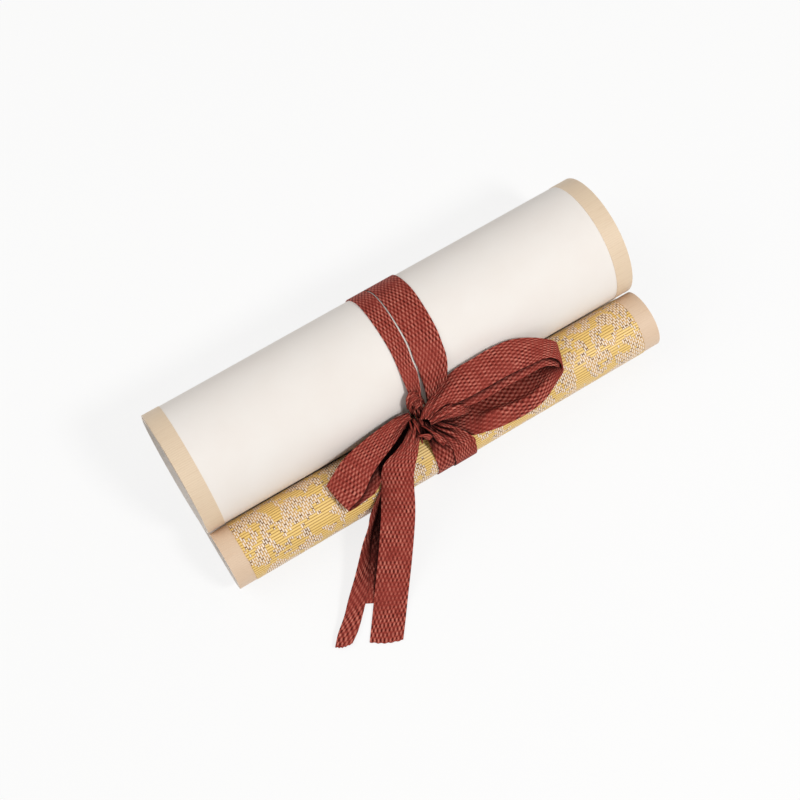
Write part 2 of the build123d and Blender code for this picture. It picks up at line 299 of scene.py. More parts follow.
def xuanPaper(look):
    material, tree = newMaterial("xuanPaper")
    place, _, _ = clothPlace(tree)
    clouds = addNode(tree, "ShaderNodeTexNoise", {
        "Vector": place, "Scale": 1 / look["cloud"], "Detail": 3.0,
    })
    fibres = addNode(tree, "ShaderNodeTexNoise", {
        "Vector": place, "Scale": 1 / look["fibre"], "Detail": 4.0,
    })
    tint = blendColours(tree, clouds.outputs[0], toLinear(look["colour"]), toLinear(look["cloudColour"]))
    bump = addNode(tree, "ShaderNodeBump", {
        "Strength": 0.25, "Distance": look["relief"] * mm, "Height": fibres.outputs[0],
    })
    shader = addNode(tree, "ShaderNodeBsdfPrincipled", {
        "Base Color": tint,
        "Roughness": 0.78,
        "IOR": 1.45,
        "Specular IOR Level": 0.25,
        "Sheen Weight": 0.05,
        "Normal": bump.outputs[0],
    })
    finishMaterial(tree, shader)
    return material


allRows = np.arange(len(pathAlong))
scrollSheet = makeLayer(
    "scrollSheet", xuanPaper(paperLook), (0.0, rolls["paper"]), (-halfLength, halfLength),
    rolls["columns"], allRows,
)
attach(scrollSheet, "root")
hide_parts("scroll_sheet")

print("stage: silk edging")
# plain silk strip glued along the long edges: close fine ribs across it, a low satin glow
edgingLook = {
    "paperSide": "E6CFB2",     # beside the white paper
    "brocadeSide": "E0C4A8",   # beside the brocade
    "sideChange": 4.0,         # mm over which the one turns into the other, under the rolls
    "lineColour": "CDAA88",    # between ribs as painted shade, and in thin threads as their own tone
    "rib": 0.62,               # mm between ribs
    "ribPaintedShade": 0.16,
    "streakLength": 8.333,     # mm along a thread
    "streakWidth": 0.7692,     # mm
    "streakShade": 0.22,
    "relief": 0.06,            # mm
    "columns": 7,
}


def ribbedSilk(look, changeAt):
    material, tree = newMaterial("ribbedSilk")
    place, _, along = clothPlace(tree)
    phase = calc(tree, "MULTIPLY", along, math.pi / look["rib"])
    rib = calc(tree, "ABSOLUTE", calc(tree, "SINE", phase))
    stretched = addNode(tree, "ShaderNodeMapping", {
        "Vector": place, "Scale": (1 / look["streakLength"], 1 / look["streakWidth"], 1.0),
    })
    threads = addNode(tree, "ShaderNodeTexNoise", {
        "Vector": stretched.outputs[0], "Scale": 1.0, "Detail": 2.0,
    })
    side = addNode(tree, "ShaderNodeMapRange", {
        "Value": along, "From Min": changeAt, "From Max": changeAt + look["sideChange"],
    })
    base = blendColours(tree, side.outputs[0], toLinear(look["paperSide"]), toLinear(look["brocadeSide"]))
    streaks = addNode(tree, "ShaderNodeMapRange", {
        "Value": threads.outputs[0], "From Min": 0.5, "From Max": 0.75, "To Max": look["streakShade"],
    })
    # darker between the ribs as painted shade, and along random thread streaks as their own tone
    between = calc(tree, "SUBTRACT", 1.0, rib)
    shade = calc(tree, "MULTIPLY_ADD", between, look["ribPaintedShade"], streaks.outputs[0])
    tint = blendColours(tree, calc(tree, "MINIMUM", shade, 1.0), base, toLinear(look["lineColour"]))
    bump = addNode(tree, "ShaderNodeBump", {
        "Strength": 0.5, "Distance": look["relief"] * mm, "Height": rib,
    })
    shader = addNode(tree, "ShaderNodeBsdfPrincipled", {
        "Base Color": tint,
        "Roughness": 0.55,
        "Sheen Weight": 0.2,
        "Sheen Roughness": 0.4,
        "Normal": bump.outputs[0],
    })
    finishMaterial(tree, shader)
    return material


edgingMaterial = ribbedSilk(edgingLook, webStart)
for name, node, ends in (
    ("leftEdging", "left_edging", (-halfLength, -brocadeHalf)),
    ("rightEdging", "right_edging", (brocadeHalf, halfLength)),
):
    strip = makeLayer(name, edgingMaterial, (-rolls["edging"], 0.0), ends, edgingLook["columns"], allRows)
    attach(strip, "root")
    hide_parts(node)

print("stage: brocade")
# silk brocade: a gold ground of close threads along the rolls, which shimmers, and motifs in
# pinkish-white threads across them, which look raised and grainy
brocadeLook = {
    "gold": "F2CC78",
    "goldPaintedShade": "AE7D2C",
    "motif": "F4E2CE",
    "between": "CF9F58",   # gold seen between two motif threads
    "dash": "835A24",      # short dark gaps at the ends of motif threads
    "goldThread": 0.78,    # mm between gold threads
    "motifThread": 0.62,   # mm between motif threads
    "strokeLength": 1.7,   # mm between the breaks of one motif thread
    "motifSize": 5.6,      # mm
    "ragged": 1.111,       # mm, size of the steps that break up a motif's edge
    "raggedShare": 0.16,
    "level": 0.5,          # higher gives fewer and smaller motifs
    "rimWidth": 0.02,
    "gapsInside": 0.2,     # share of the cells inside a motif that have a dark gap
    "gapsAtRim": 0.4,
    "relief": 0.10,        # mm
    "columns": 60,
}


def silkBrocade(look):
    material, tree = newMaterial("silkBrocade")
    place, x, along = clothPlace(tree)
    threadX = calc(tree, "DIVIDE", x, look["motifThread"])
    threadY = calc(tree, "DIVIDE", along, look["goldThread"])
    column = calc(tree, "FLOOR", threadX)
    row = calc(tree, "FLOOR", threadY)
    cell = addNode(tree, "ShaderNodeCombineXYZ", {
        0: calc(tree, "MULTIPLY", column, look["motifThread"]),
        1: calc(tree, "MULTIPLY", row, look["goldThread"]),
    })

    # leaves and blossoms in steps of one thread
    leaves = addNode(tree, "ShaderNodeTexNoise", {
        "Vector": cell.outputs[0], "Scale": 1 / look["motifSize"], "Detail": 1.6, "Distortion": 1.2,
    })
    ragged = addNode(tree, "ShaderNodeTexNoise", {
        "Vector": cell.outputs[0], "Scale": 1 / look["ragged"], "Detail": 1.0,
    })
    share = look["raggedShare"]
    steps = calc(tree, "MULTIPLY_ADD", ragged.outputs[0], share, -share / 2)
    pattern = calc(tree, "ADD", leaves.outputs[0], steps)
    motif = calc(tree, "GREATER_THAN", pattern, look["level"])

    # dark gaps scattered inside the motifs, and more of them along their rims
    chance = addNode(tree, "ShaderNodeTexWhiteNoise", {"Vector": cell.outputs[0]}, noise_dimensions="2D")
    fromEdge = calc(tree, "ABSOLUTE", calc(tree, "SUBTRACT", pattern, look["level"]))
    border = calc(tree, "LESS_THAN", fromEdge, look["rimWidth"])
    gapInside = calc(tree, "GREATER_THAN", chance.outputs[0], 1 - look["gapsInside"])
    gapAtRim = calc(tree, "GREATER_THAN", chance.outputs[0], 1 - look["gapsAtRim"])
    inside = calc(tree, "MULTIPLY", motif, gapInside)
    rim = calc(tree, "MULTIPLY", border, gapAtRim)
    dark = calc(tree, "MAXIMUM", inside, rim)

    # round threads, and strokes that break half a length apart from their neighbours, like bricks
    goldWave = calc(tree, "ABSOLUTE", calc(tree, "SINE", calc(tree, "MULTIPLY", threadY, math.pi)))
    motifWave = calc(tree, "ABSOLUTE", calc(tree, "SINE", calc(tree, "MULTIPLY", threadX, math.pi)))
    stagger = calc(tree, "MULTIPLY_ADD", column, 0.5, calc(tree, "DIVIDE", along, look["strokeLength"]))
    breaks = calc(tree, "ABSOLUTE", calc(tree, "SINE", calc(tree, "MULTIPLY", stagger, math.pi)))
    unbroken = addNode(tree, "ShaderNodeMapRange", {"Value": breaks, "From Min": 0.15, "From Max": 0.45})
    stroke = calc(tree, "MULTIPLY", motifWave, unbroken.outputs[0])
    goldLit = addNode(tree, "ShaderNodeMapRange", {"Value": goldWave, "From Min": 0.1, "From Max": 0.8})
    motifLit = addNode(tree, "ShaderNodeMapRange", {"Value": stroke, "From Min": 0.4, "From Max": 0.75})

    # each gold thread is painted lighter along its middle as a highlight and darker at its sides as painted
    # shade
    goldTint = blendColours(tree, goldLit.outputs[0], toLinear(look["goldPaintedShade"]), toLinear(look["gold"]))
    gapTint = blendColours(tree, dark, toLinear(look["between"]), toLinear(look["dash"]))
    motifTint = blendColours(tree, motifLit.outputs[0], gapTint, toLinear(look["motif"]))
    tint = blendColours(tree, calc(tree, "MAXIMUM", motif, rim), goldTint, motifTint)
    height = addNode(tree, "ShaderNodeMix", {0: motif, 2: goldWave, 3: motifWave}, data_type="FLOAT")
    bump = addNode(tree, "ShaderNodeBump", {
        "Strength": 0.6, "Distance": look["relief"] * mm, "Height": height.outputs[0],
    })
    shader = addNode(tree, "ShaderNodeBsdfPrincipled", {
        "Base Color": tint,
        "Roughness": 0.4,
        "Sheen Weight": 0.15,
        "Normal": bump.outputs[0],
    })
    finishMaterial(tree, shader)
    return material


# the brocade starts under the web, where its solid does, and goes on into the small roll
pastStart = (pathTurns > 0) | (pathPoints[:, 0] <= brocadeHigh.y + 1e-6)
brocadeRows = allRows[(pathAlong >= webStart) & pastStart]
brocadeCover = makeLayer(
    "brocadeCover", silkBrocade(brocadeLook), (-brocadeThickness, 0.0), (-brocadeHalf, brocadeHalf),
    brocadeLook["columns"], brocadeRows,
)
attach(brocadeCover, "root")
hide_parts("brocade_cover")

print("stage: ribbon")
# coarse warp-faced ribbon in twisted thread: plump grains set like a chessboard, their tops painted lighter
# as a highlight, with dark gaps between that are partly the weft and partly painted shade, worn smoother in
# patches, matt, and with painted shade that turns it nearly black deep in its folds
ribbonLook = {
    "width": 9.5,
    "length": 650.0,       # both ties, two loops, two tails and the knot, without doubled folds
    "thickness": 0.32,
    "clearance": 0.05,     # between the ribbon and the table
    "bigClearance": 0.22,  # from the big roll to the ribbon's middle
    "warp": 0.56,          # mm from one warp thread to the next
    "pick": 1.25,          # mm from one weft thread to the next
    "grainHighlight": "D07F6D",     # top of a warp grain, a painted highlight
    "middle": "963B31",
    "dark": "45100A",      # gap beside a grain, partly the weft and partly painted shade
    "paintedFoldShade": "1E0403",      # painted shade deep inside a fold
    "paintedShadeReach": 8.0,      # mm over which folds give each other painted shade
    "wander": 1.25,        # mm, size of the waves that pull the threads out of line
    "wanderReach": 0.9,    # mm along the ribbon
    "wanderAcross": 0.35,  # share of that across it
    "fuzz": 0.3125,        # mm, size of the fibres
    "fuzzShare": 0.9,
    "patch": 4.545,        # mm, size of lighter and darker patches
    "patchShare": 0.5,
    "worn": 9.091,         # mm, size of smoother patches
    "wornContrast": 0.4,   # how much of the grain is left in them
    "relief": 0.10,        # mm
    "gatherHeight": 1.0,   # scales all gathers
    "cutReach": 5.0,       # mm over which a cut end slants
    "step": 0.45,          # spacing of points along the ribbon
    "columns": 28,         # spaces across the ribbon
}
bodyHalf = ribbonLook["thickness"] / 2 + ribbonLook["clearance"]
smallTie = smallAxis[1] - bodyHalf
bigTie = bigRadius + ribbonLook["bigClearance"]
ribbonMaker = SolidMaker()
runLengths = []


# points on a smooth curve through the given rows, close together
def smoothRows(rows, perSpan=24):
    rows = np.asarray(rows, float)
    ends = np.vstack([2 * rows[0] - rows[1], rows, 2 * rows[-1] - rows[-2]])
    found = []
    for i in range(1, len(ends) - 2):
        before, here, there, after = ends[i - 1], ends[i], ends[i + 1], ends[i + 2]
        for t in np.linspace(0, 1, perSpan, endpoint=False):
            found.append(0.5 * (
                2 * here + (there - before) * t
                + (2 * before - 5 * here + 4 * there - after) * t ** 2
                + (3 * here - before - 3 * there + after) * t ** 3
            ))
    found.append(ends[-2])
    return np.array(found)


def unit(vectors):
    return vectors / np.linalg.norm(vectors, axis=-1, keepdims=True)


def resample(rows, along, spots):
    return np.stack([np.interp(spots, along, rows[:, k]) for k in range(rows.shape[1])], 1)


# stations of a run of ribbon: points across it from edge to edge, and the height of its gathers
def flat(middle, across, width, gather=0.0):
    middle, across = np.array(middle, float), unit(np.array(across, float))
    return [middle - across * width / 2, middle + across * width / 2], gather


def bent(*points, gather=0.0):
    return [np.array(point, float) for point in points], gather


# evenly spaced points across one station
def spread(points, count):
    rows = smoothRows(points, 8) if len(points) > 2 else np.array(points)
    along = lengthAlong(rows)
    return resample(rows, along, np.linspace(0, along[-1], count))


# one run of ribbon through its stations; clothWidth is the width of cloth that it gathers up, and
# gathers stand out on the side that the run's way ahead crossed with the way across points to
def addRibbonRun(stations, folds, clothWidth=ribbonLook["width"], phase=0.0, sway=0.0, endCut=0.0):
    look = ribbonLook
    count = look["columns"] + 1
    rows = np.array([np.append(spread(points, count).ravel(), gather) for points, gather in stations])
    fine = smoothRows(rows)
    along = lengthAlong(fine[:, :-1].reshape(-1, count, 3)[:, count // 2])
    spots = np.linspace(0, along[-1], max(int(along[-1] / look["step"]), 5))
    rows = resample(fine, along, spots)
    points = rows[:, :-1].reshape(-1, count, 3)
    gather = np.clip(rows[:, -1:], 0, None) * look["gatherHeight"]
    u = np.linspace(0, 1, count)[None, :]
    place = spots[:, None]

    # gathers are waves across the ribbon that wander along it, on top of a slow swell
    drift = 0.16 * np.sin(place / 5.3 + phase) + 0.10 * np.sin(place / 2.3 + 2 * phase)
    wave = 0.5 + 0.5 * np.cos(2 * math.pi * folds * (u + drift * u * (1 - u) * 4) + phase)
    uneven = 0.75 + 0.25 * np.sin(u * 9.0 + place / 3.1 + phase)
    swell = sway * (np.sin(place / 6.1 + u * 3 + phase) + 0.6 * np.sin(place / 2.9 - u * 5))
    out = unit(np.cross(np.gradient(points, axis=0), np.gradient(points, axis=1)))
    points = points + out * (gather * wave ** 0.8 * uneven + swell)[..., None]

    # a cut end slants, bows out a little in the middle and frays
    if endCut:
        ahead = unit(np.gradient(points, axis=0))
        share = np.clip((place - spots[-1] + look["cutReach"]) / look["cutReach"], 0, 1)
        cut = endCut * (u - 0.5) + 0.6 * np.sin(math.pi * u) + 0.12 * np.sin(u * 31.0)
        points = points + ahead * (share * cut)[..., None]

    out = unit(np.cross(np.gradient(points, axis=0), np.gradient(points, axis=1)))
    places = np.zeros(points.shape[:2] + (2,))
    places[..., 0] = (u - 0.5) * clothWidth
    places[..., 1] = place
    half = look["thickness"] / 2
    ribbonMaker.addGrid(points + out * half, points - out * half, places)
    runLengths.append(float(spots[-1]))


def wovenRibbon(look):
    material, tree = newMaterial("wovenRibbon")
    place, x, along = clothPlace(tree)
    wander = addNode(tree, "ShaderNodeTexNoise", {
        "Vector": place, "Scale": 1 / look["wander"], "Detail": 2.0,
    })
    fuzz = addNode(tree, "ShaderNodeTexNoise", {
        "Vector": place, "Scale": 1 / look["fuzz"], "Detail": 2.0,
    })
    patch = addNode(tree, "ShaderNodeTexNoise", {
        "Vector": place, "Scale": 1 / look["patch"], "Detail": 1.0,
    })
    worn = addNode(tree, "ShaderNodeTexNoise", {
        "Vector": place, "Scale": 1 / look["worn"], "Detail": 2.0,
    })

    # grains are the places where two crossed waves are both high or both low
    reach = look["wanderReach"]
    shift = calc(tree, "MULTIPLY_ADD", wander.outputs[0], reach, -reach / 2)
    shiftedX = calc(tree, "ADD", x, calc(tree, "MULTIPLY", shift, look["wanderAcross"]))
    across = calc(tree, "DIVIDE", shiftedX, look["warp"])
    ahead = calc(tree, "DIVIDE", calc(tree, "ADD", along, shift), look["pick"])
    waveX = calc(tree, "COSINE", calc(tree, "MULTIPLY", across, math.pi))
    waveY = calc(tree, "COSINE", calc(tree, "MULTIPLY", ahead, math.pi))
    grains = calc(tree, "MULTIPLY", waveX, waveY)

    # each grain has its own strength, fainter where the cloth is worn
    cell = addNode(tree, "ShaderNodeCombineXYZ", {
        0: calc(tree, "ROUND", across), 1: calc(tree, "ROUND", ahead),
    })
    chance = addNode(tree, "ShaderNodeTexWhiteNoise", {"Vector": cell.outputs[0]}, noise_dimensions="2D")
    uneven = calc(tree, "MULTIPLY_ADD", chance.outputs[0], 0.5, 0.6)
    contrast = addNode(tree, "ShaderNodeMapRange", {
        "Value": worn.outputs[0], "From Min": 0.38, "From Max": 0.6, "To Min": look["wornContrast"],
    })
    level = calc(tree, "MULTIPLY", calc(tree, "MULTIPLY", grains, uneven), contrast.outputs[0])
    for noise, share in ((fuzz, look["fuzzShare"]), (patch, look["patchShare"])):
        level = calc(tree, "ADD", level, calc(tree, "MULTIPLY_ADD", noise.outputs[0], share, -share / 2))

    # the grains' tops are painted lighter as a highlight, and the gaps between them darker, partly as
    # painted shade
    high = addNode(tree, "ShaderNodeMapRange", {"Value": level, "From Min": 0.0, "From Max": 0.9})
    low = addNode(tree, "ShaderNodeMapRange", {"Value": level, "From Min": -0.75, "From Max": 0.05})
    shade = blendColours(tree, low.outputs[0], toLinear(look["dark"]), toLinear(look["middle"]))
    weave = blendColours(tree, high.outputs[0], shade, toLinear(look["grainHighlight"]))
    # painted shade: the colour turns nearly black where other parts of the ribbon come close, as deep in
    # its folds
    nearby = addNode(
        tree, "ShaderNodeAmbientOcclusion", {"Distance": look["paintedShadeReach"] * mm},
        samples=6, only_local=True,
    )
    openness = addNode(tree, "ShaderNodeMapRange", {
        "Value": nearby.outputs["AO"], "From Min": 0.5, "From Max": 1.0,
    })
    tint = blendColours(tree, openness.outputs[0], toLinear(look["paintedFoldShade"]), weave)
    bump = addNode(tree, "ShaderNodeBump", {
        "Strength": 0.8, "Distance": look["relief"] * mm, "Height": level,
    })
    shader = addNode(tree, "ShaderNodeBsdfPrincipled", {
        "Base Color": tint,
        "Roughness": 0.62,
        "Specular IOR Level": 0.08,
        "Normal": bump.outputs[0],
    })
    finishMaterial(tree, shader)
    return material


# a flat station round a roll, at an angle seen from +X, with the x of its middle and its width
def onRoll(axis, radius, angle, x, width, gather=0.0):
    turn = math.radians(angle)
    place = (x, axis[0] + radius * math.cos(turn), axis[1] + radius * math.sin(turn))
    return flat(place, (1, 0, 0), width, gather)


# down the front of the small roll, under both rolls and up the back of the big one
def tieBelow(frontX, frontWidth, lift, backX, backWidth):
    stations = [
        onRoll(smallAxis, smallTie + lift, angle, frontX, frontWidth, gather)
        for angle, gather in ((135, 0.5), (150, 0.3), (165, 0.12), (180, 0.0))
    ]
    stations += [
        onRoll(smallAxis, smallTie + lift * (270 - angle) / 90, angle, frontX, frontWidth)
        for angle in (200, 220, 240, 260)
    ]
    stations += [
        flat((frontX, smallAxis[0], bodyHalf), (1, 0, 0), frontWidth),
        flat(((frontX + backX) / 2, 0, bodyHalf), (1, 0, 0), (frontWidth + backWidth) / 2),
        flat((backX, bigAxis[0], bodyHalf), (1, 0, 0), backWidth),
    ]
    tableRadius = bigAxis[1] - bodyHalf
    for angle in (-75, -60, -45, -30, -15, 0, 15, 30):
        share = max(-angle, 0) / 75
        radius = bigTie + (tableRadius - bigTie) * share
        stations.append(onRoll(bigAxis, radius, angle, backX, backWidth))
    return stations


# over the big roll, with an angle, an x and a width for each station
def tieTop(rows):
    return [onRoll(bigAxis, bigTie, angle, x, width) for angle, x, width in rows]


leftTie = [
    flat((-4.6, -11.8, 22.6), (1, 0, 0), 2.6, 0.8),
    flat((-4.0, -13.8, 21.0), (1, 0, 0), 3.2, 0.9),
    flat((-3.2, -16.6, 18.2), (1, 0, 0), 5.0, 0.8),
] + tieBelow(-2.6, 6.4, 0.0, -1.5, 5.2) + tieTop([
    (48, -1.3, 5.3), (65, -1.35, 5.3), (83, -1.5, 5.2),
    (101, -1.65, 4.9), (113, -1.75, 4.8), (127, -2.2, 4.5),
]) + [
    flat((-2.4, -0.8, 31.5), (1, 0, 0), 4.5, 0.1),
    flat((-3.1, -4.0, 28.7), (1, 0, 0), 3.6, 0.4),
    flat((-3.9, -6.4, 26.7), (1, 0, 0), 2.9, 0.6),
    flat((-4.6, -9.4, 24.4), (1, 0, 0), 2.5, 0.7),
    flat((-5.0, -11.6, 22.4), (1, 0, 0), 2.4, 0.7),
]
addRibbonRun(leftTie, 2.0, clothWidth=5.8)

# its left edge curls down where it leaves the big roll
rightTie = [
    flat((-3.4, -11.8, 23.0), (1, 0, -0.1), 2.6, 0.9),
    flat((-2.2, -13.8, 22.2), (1, 0.2, -0.15), 3.6, 1.1),
    flat((0.2, -16.4, 19.4), (1, 0.15, -0.1), 6.0, 1.0),
] + tieBelow(3.1, 7.0, 0.36, 6.1, 9.1) + tieTop([
    (48, 6.2, 8.9), (69, 6.2, 9.1), (91, 5.95, 9.1), (112, 5.75, 9.0), (127, 5.2, 9.1),
]) + [
    bent((0.7, -1.1, 30.7), (0.9, -0.6, 31.5), (4.9, -0.5, 31.8), (9.3, -0.6, 31.7)),
    bent((0.3, -3.9, 28.2), (0.5, -3.3, 29.2), (4.1, -3.1, 29.7), (8.1, -3.2, 29.5), gather=0.1),
    bent((-0.3, -6.6, 26.0), (-0.1, -6.1, 26.8), (2.7, -5.9, 27.3), (5.8, -6.0, 27.0), gather=0.4),
    flat((0.6, -8.8, 24.8), (1, 0.1, 0), 4.2, 0.8),
    flat((-1.8, -11.2, 22.8), (1, 0, 0), 3.0, 0.8),
]
addRibbonRun(rightTie, 3.0, clothWidth=9.3, phase=0.7)

# the right loop's upper layer, crease to back edge, then round the end and back below: front edge,
# bend and back edge, buckled up before it runs into the knot
rightLoop = [
    bent((-3.1, -12.4, 24.6), (-3.9, -11.6, 25.4), (-5.2, -10.8, 24.6), gather=0.4),
    bent((-0.4, -11.6, 25.4), (-1.4, -10.2, 26.6), (-2.8, -8.8, 25.8), gather=0.55),
    bent((3.7, -11.7, 26.0), (2.6, -9.4, 27.6), (1.1, -6.9, 26.6), gather=0.35),
    bent((6.0, -12.3, 26.6), (6.0, -8.6, 28.2), (6.0, -4.9, 27.4), gather=0.15),
    bent((9.8, -12.8, 26.9), (10.3, -8.2, 28.7), (10.5, -4.1, 27.9)),
    bent((15.0, -13.0, 27.2), (15.4, -8.4, 29.0), (15.6, -4.2, 28.3)),
    bent((19.9, -13.0, 27.2), (20.5, -8.4, 29.0), (20.9, -4.1, 28.3)),
    bent((25.2, -13.1, 26.6), (26.4, -8.6, 28.4), (27.2, -4.5, 27.6)),
    bent((29.4, -13.2, 25.6), (31.2, -9.4, 27.0), (32.6, -6.1, 26.2)),
    bent((33.6, -13.2, 24.4), (35.7, -10.8, 25.0), (37.2, -8.4, 24.6)),
    bent((36.9, -14.4, 22.9), (38.5, -12.6, 23.1), (39.8, -10.4, 23.1)),
    bent((38.1, -16.3, 20.9), (39.2, -14.2, 21.0), (39.8, -12.0, 21.1)),
    bent((37.6, -18.0, 19.2), (38.2, -15.6, 19.5), (38.6, -13.0, 19.4)),
    bent((34.6, -19.4, 18.3), (34.6, -17.0, 18.9), (34.6, -13.4, 18.5)),
    bent((30.4, -21.2, 17.0), (29.7, -19.0, 19.7), (29.7, -17.0, 18.6), (29.8, -13.2, 18.2)),
    bent((26.6, -22.0, 16.4), (26.0, -19.8, 20.0), (26.1, -17.4, 18.5), (26.2, -13.0, 18.1)),
    bent((20.5, -22.0, 15.9), (20.4, -19.4, 20.1), (20.8, -17.2, 18.5), (21.0, -12.8, 18.1)),
    bent((14.4, -21.5, 15.9), (15.2, -18.4, 20.2), (15.6, -16.2, 18.6), (16.1, -12.4, 18.2)),
    bent((10.3, -20.7, 16.0), (12.0, -17.8, 20.0), (12.6, -15.6, 18.7), (13.4, -12.0, 18.4), gather=0.1),
    bent((7.2, -19.8, 15.8), (9.2, -16.8, 18.2), (10.4, -11.8, 18.6), gather=0.2),
    bent((4.2, -18.4, 16.6), (5.8, -15.8, 18.1), (6.9, -11.8, 18.9), gather=0.45),
    bent((1.4, -16.6, 18.8), (2.4, -14.8, 20.0), (3.2, -12.4, 20.4), gather=0.7),
    bent((-1.4, -14.4, 21.4), (-1.0, -13.6, 22.0), (-0.6, -12.6, 22.4), gather=0.8),
    bent((-3.6, -13.2, 22.8), (-3.4, -12.6, 23.2), (-3.2, -11.8, 23.4), gather=0.7),
]
addRibbonRun(rightLoop, 3.0, phase=0.4, sway=0.05)

# the upper layer folded under along the crease, so that a lip stands out below it
rightLip = [
    bent((5.2, -12.4, 25.0), (5.2, -11.4, 25.4), (5.2, -9.4, 26.0), gather=0.1),
    bent((7.2, -13.7, 24.6), (7.2, -12.2, 25.4), (7.2, -9.6, 26.2)),
    bent((10.2, -14.5, 24.7), (10.2, -12.8, 25.7), (10.3, -9.8, 26.6)),
    bent((15.0, -15.0, 25.2), (15.1, -13.2, 26.0), (15.3, -9.8, 27.0)),
    bent((19.9, -15.0, 25.2), (20.1, -13.2, 26.0), (20.4, -9.8, 27.0)),
    bent((25.2, -15.0, 24.6), (25.5, -13.3, 25.4), (26.1, -10.0, 26.4)),
    bent((29.5, -14.7, 23.4), (29.9, -13.4, 24.2), (30.6, -10.6, 25.1)),
    bent((33.2, -14.6, 22.4), (33.8, -13.5, 23.2), (34.8, -11.4, 23.8)),
    bent((35.8, -15.6, 21.3), (36.3, -14.6, 21.8), (37.3, -12.6, 22.3)),
    bent((37.2, -16.4, 20.3), (37.6, -15.8, 20.7), (38.1, -14.8, 21.1)),
]
addRibbonRun(rightLip, 2.0, clothWidth=5.5, phase=1.9, sway=0.04)

# the gathered fold that shows inside the loop's root
rootFold = [
    bent((-3.6, -13.4, 24.0), (-3.4, -12.8, 25.2), (-3.2, -12.0, 25.2), gather=0.5),
    bent((0.0, -13.9, 24.4), (0.4, -12.9, 26.0), (0.6, -11.7, 26.1), gather=0.6),
    bent((3.3, -14.6, 23.8), (3.8, -13.2, 25.9), (4.3, -11.6, 26.0), gather=0.5),
    bent((6.3, -14.9, 22.6), (6.8, -13.5, 24.7), (7.2, -12.3, 25.0), gather=0.3),
    bent((8.6, -14.2, 20.8), (9.2, -13.0, 22.4), (9.6, -12.0, 22.8), gather=0.1),
]
addRibbonRun(rootFold, 2.5, clothWidth=7.0, phase=2.6)

# back edge, middle and front edge of the upper layer, round the end, then the layer below it
leftLoop = [
    bent((-6.7, -7.2, 23.9), (-7.1, -8.6, 24.6), (-7.1, -9.4, 23.3), gather=0.35),
    bent((-9.8, -6.5, 23.5), (-10.2, -8.6, 24.1), (-10.2, -10.1, 22.9), gather=0.4),
    bent((-13.0, -6.4, 23.1), (-13.1, -9.1, 23.8), (-12.7, -11.3, 22.5), gather=0.3),
    bent((-17.3, -6.6, 22.6), (-17.2, -10.1, 23.2), (-16.6, -13.0, 22.0), gather=0.12),
    bent((-21.7, -7.1, 22.0), (-21.1, -11.0, 22.6), (-20.1, -14.3, 21.4)),
    bent((-26.2, -7.8, 21.3), (-25.5, -12.4, 21.9), (-24.5, -16.4, 20.7)),
    bent((-29.9, -8.8, 20.6), (-28.9, -14.0, 21.2), (-27.6, -18.6, 20.0)),
    bent((-33.2, -10.4, 19.9), (-31.9, -15.4, 20.5), (-30.3, -19.9, 19.3)),
    bent((-35.6, -11.6, 19.2), (-34.9, -16.4, 19.8), (-33.8, -20.7, 18.6)),
    bent((-36.1, -12.1, 18.7), (-35.6, -16.7, 19.0), (-34.5, -20.9, 18.1)),
    bent((-34.9, -12.4, 18.3), (-34.4, -16.9, 18.3), (-33.3, -21.1, 17.6)),
    bent((-32.6, -12.9, 18.5), (-30.7, -17.4, 18.5), (-28.9, -20.7, 17.7)),
    bent((-29.7, -12.4, 18.8), (-27.9, -15.9, 18.7), (-25.4, -20.2, 17.8)),
    bent((-26.5, -10.4, 19.0), (-24.7, -13.5, 18.9), (-22.0, -18.0, 18.0)),
    bent((-22.4, -8.0, 19.1), (-20.3, -11.3, 19.1), (-17.7, -15.5, 18.2)),
    bent((-18.2, -7.5, 19.3), (-16.7, -9.9, 19.4), (-13.9, -14.3, 18.6)),
    bent((-13.6, -6.9, 20.2), (-12.8, -8.2, 20.1), (-10.2, -12.5, 19.2), gather=0.1),
    bent((-10.4, -6.8, 20.8), (-9.6, -8.2, 20.8), (-8.0, -10.9, 19.8), gather=0.2),
    bent((-7.3, -6.5, 21.7), (-6.8, -7.6, 21.7), (-6.0, -9.3, 20.7), gather=0.3),
]
addRibbonRun(leftLoop, 3.0, phase=1.1, sway=0.04)

# out of the knot, over the brocade and down to the table, with both edges turned down at first
frontTail = [
    bent((-7.0, -9.3, 23.7), (-7.0, -11.0, 24.5), (-6.7, -12.4, 23.9), gather=0.6),
    bent((-8.8, -10.9, 23.5), (-8.5, -12.9, 24.3), (-7.9, -14.6, 23.7), gather=0.7),
    bent((-11.8, -12.9, 22.9), (-10.8, -14.9, 23.7), (-9.4, -16.5, 23.1), gather=0.5),
    bent((-15.2, -14.2, 22.1), (-13.1, -16.3, 22.9), (-10.7, -18.1, 22.3), gather=0.3),
    bent((-19.4, -15.2, 20.9), (-16.0, -17.6, 21.7), (-12.3, -19.7, 21.1), gather=0.12),
    bent((-21.7, -17.0, 19.1), (-18.0, -19.7, 19.9), (-14.2, -21.9, 19.3)),
    bent((-23.2, -19.4, 16.5), (-19.5, -22.0, 17.3), (-15.5, -24.2, 16.7)),
    bent((-25.3, -22.8, 12.7), (-21.4, -25.4, 13.5), (-17.3, -27.7, 12.9)),
    flat((-23.7, -28.9, 10.0), (0.85, -0.53, 0), 9.5),
    flat((-28.9, -35.9, 4.8), (0.86, -0.51, 0), 9.5),
    flat((-34.7, -43.3, 1.3), (0.88, -0.48, 0), 9.5),
    flat((-38.6, -48.4, 0.4), (0.9, -0.44, 0), 9.5),
    flat((-42.6, -53.6, 0.3), (0.92, -0.38, 0), 9.5),
]
addRibbonRun(frontTail, 3.0, phase=2.0, sway=0.04, endCut=0.8)

